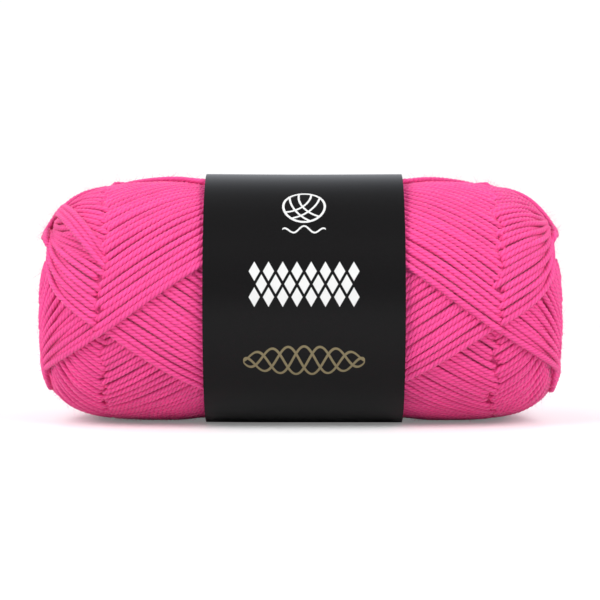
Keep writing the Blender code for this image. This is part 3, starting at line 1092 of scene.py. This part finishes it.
def diamond_row_group():
    """A row of upright diamonds with a gap between them."""
    inputs = (("Place", "NodeSocketVector", None), *numbers("Centre up", "Diamonds", "Width", "Height"))
    group, given, result = new_group("Diamond row", inputs, (("Mask", "NodeSocketFloat"),))
    across, up = place_in(group, given)
    half_row = maths(group, "MULTIPLY", given.outputs["Diamonds"], 0.5)
    count = maths(group, "ADD", maths(group, "DIVIDE", across, given.outputs["Width"]), half_row)
    from_middle = maths(group, "ABSOLUTE", maths(group, "SUBTRACT", count, half_row))
    row = maths(group, "LESS_THAN", from_middle, half_row)
    off = maths(group, "ABSOLUTE", maths(group, "SUBTRACT", maths(group, "FRACT", count), 0.5))
    tall = maths(group, "ABSOLUTE", maths(group, "DIVIDE", up, given.outputs["Height"]))
    inside = maths(group, "SUBTRACT", DIAMOND_SHARE, maths(group, "ADD", off, tall))
    inside = maths(group, "MULTIPLY", inside, given.outputs["Width"])
    mask = maths(group, "MULTIPLY", mask_of(group, inside), row)
    group.links.new(mask, result.inputs["Mask"])
    return group


DIAMOND_ROW = diamond_row_group()
print("Motif:", DIAMOND_ROW.name)

# %% [markdown]
# Three waves that start a third of a wave apart make a braid, and a single one a loose end of yarn. The
# distance from a steep wave is less than the height above it, so the height is divided by the steepness, and
# the line stays equally wide.


# %% The wave motif
def wave_group():
    """A wave line that grows flat towards both its ends."""
    inputs = (
        ("Place", "NodeSocketVector", None),
        *numbers("Centre up", "Half width", "Height", "Wave length", "Start", "Line"),
    )
    group, given, result = new_group("Wave", inputs, (("Mask", "NodeSocketFloat"),))
    across, up = place_in(group, given)
    share = maths(group, "DIVIDE", across, given.outputs["Half width"])
    left_over = maths(group, "SUBTRACT", 1.0, maths(group, "MULTIPLY", share, share))
    fade = maths(group, "SQRT", maths(group, "MAXIMUM", left_over, 0.0))
    tall = maths(group, "MULTIPLY", fade, given.outputs["Height"])
    turns = maths(group, "DIVIDE", across, given.outputs["Wave length"])
    angle = maths(group, "MULTIPLY_ADD", turns, 2 * math.pi, given.outputs["Start"])
    off = maths(group, "SUBTRACT", up, maths(group, "MULTIPLY", tall, maths(group, "COSINE", angle)))
    steep = maths(group, "MULTIPLY", tall, maths(group, "SINE", angle))
    steep = maths(group, "DIVIDE", maths(group, "MULTIPLY", steep, 2 * math.pi), given.outputs["Wave length"])
    stretch_of = maths(group, "SQRT", maths(group, "MULTIPLY_ADD", steep, steep, 1.0))
    near = maths(group, "DIVIDE", maths(group, "ABSOLUTE", off), stretch_of)
    half = maths(group, "MULTIPLY", given.outputs["Line"], 0.5)
    mask = mask_of(group, maths(group, "SUBTRACT", half, near))
    within = maths(group, "LESS_THAN", maths(group, "ABSOLUTE", share), 1.0)
    group.links.new(maths(group, "MULTIPLY", mask, within), result.inputs["Mask"])
    return group


WAVE = wave_group()
print("Motif:", WAVE.name)

# %% [markdown]
# The paper itself is black and satin smooth, with a very fine grain. The print lies on it as white and dull
# gold ink. A motif is used by setting its place and size in millimetres from the middle of the band's front.

# %% Black printed paper
BALL_UP = 24.2
BALL_RADIUS = 4.6
BALL_ARCS = ((-4.6, 4.4, 6.2), (-4.6, 4.4, 8.2), (5.4, 3.2, 6.6), (5.4, 3.2, 8.6))
DIAMOND_ROWS = ((7.9, 8.0, 3.12, 5.4), (5.1, 7.0, 3.12, 5.4), (2.3, 8.0, 3.12, 5.4))
BRAID_UP = -12.0
BRAID_STARTS = (0.0, 2.094, 4.189)
BLACK = (0.0050, 0.0048, 0.0050, 1.0)
BLACK_GRAIN = (0.0085, 0.0080, 0.0082, 1.0)
PLAIN_BLACK = (0.010, 0.010, 0.010, 1.0)
WHITE_INK = (0.64, 0.64, 0.63, 1.0)
GOLD_INK = (0.200, 0.165, 0.092, 1.0)
GRAIN = (2.5, 2.5, 1)

black_paper = bpy.data.materials.new("Black printed paper")
black_paper.use_nodes = True
paper_tree = black_paper.node_tree
paper_shader = paper_tree.nodes["Principled BSDF"]
print_place = node(paper_tree, "ShaderNodeUVMap", uv_map="Print").outputs[0]


def motif(group, output="Mask", **values):
    """One use of a motif. Its inputs are given in plain words, such as centre_up."""
    inputs = {title.replace("_", " ").capitalize(): value for title, value in values.items()}
    made = node(paper_tree, "ShaderNodeGroup", node_tree=group)
    paper_tree.links.new(print_place, made.inputs["Place"])
    for title, value in inputs.items():
        made.inputs[title].default_value = value
    return made.outputs[output]


def either(masks):
    """1 where any of the masks is 1."""
    joined = masks[0]
    for mask in masks[1:]:
        joined = maths(paper_tree, "MAXIMUM", joined, mask)
    return joined


disc = motif(RING_MARK, "Disc", centre_up=BALL_UP, radius=BALL_RADIUS)
outline = motif(RING_MARK, centre_up=BALL_UP, radius=BALL_RADIUS, line=0.62)
arcs = either(
    [motif(RING_MARK, centre_across=x, centre_up=BALL_UP + y, radius=r, line=0.55) for x, y, r in BALL_ARCS]
)
tail = motif(WAVE, centre_up=BALL_UP - 6.6, half_width=4.8, height=0.9, wave_length=4.8, line=0.5)
rows = [motif(DIAMOND_ROW, centre_up=up, diamonds=n, width=w, height=h) for up, n, w, h in DIAMOND_ROWS]
white_ink = either([outline, maths(paper_tree, "MULTIPLY", arcs, disc), tail, *rows])
braid = dict(centre_up=BRAID_UP, half_width=13.4, height=3.4, wave_length=10.7, line=0.62)
gold_ink = either([motif(WAVE, start=start, **braid) for start in BRAID_STARTS])
grain = noise(paper_tree, print_place, GRAIN, 4.0)
paper_black = mixed(paper_tree, grain, BLACK, BLACK_GRAIN)
with_white = mixed(paper_tree, white_ink, paper_black, WHITE_INK)
with_gold = mixed(paper_tree, gold_ink, with_white, GOLD_INK)
paper_relief = {"Height": grain, "Strength": 0.15, "Distance": 0.00003}
paper_bump = node(paper_tree, "ShaderNodeBump", paper_relief)
paper_shader.inputs["Base Color"].default_value = PLAIN_BLACK
paper_tree.links.new(with_gold, paper_shader.inputs["Base Color"])
paper_rough = maths(paper_tree, "MULTIPLY_ADD", grain, 0.08, 0.26)
paper_tree.links.new(paper_rough, paper_shader.inputs["Roughness"])
paper_tree.links.new(paper_bump.outputs[0], paper_shader.inputs["Normal"])
paper_shader.inputs["Specular IOR Level"].default_value = 0.09
band.data.materials.append(black_paper)
print("The print takes", sum(each.type == "GROUP" for each in paper_tree.nodes), "uses of the motifs")
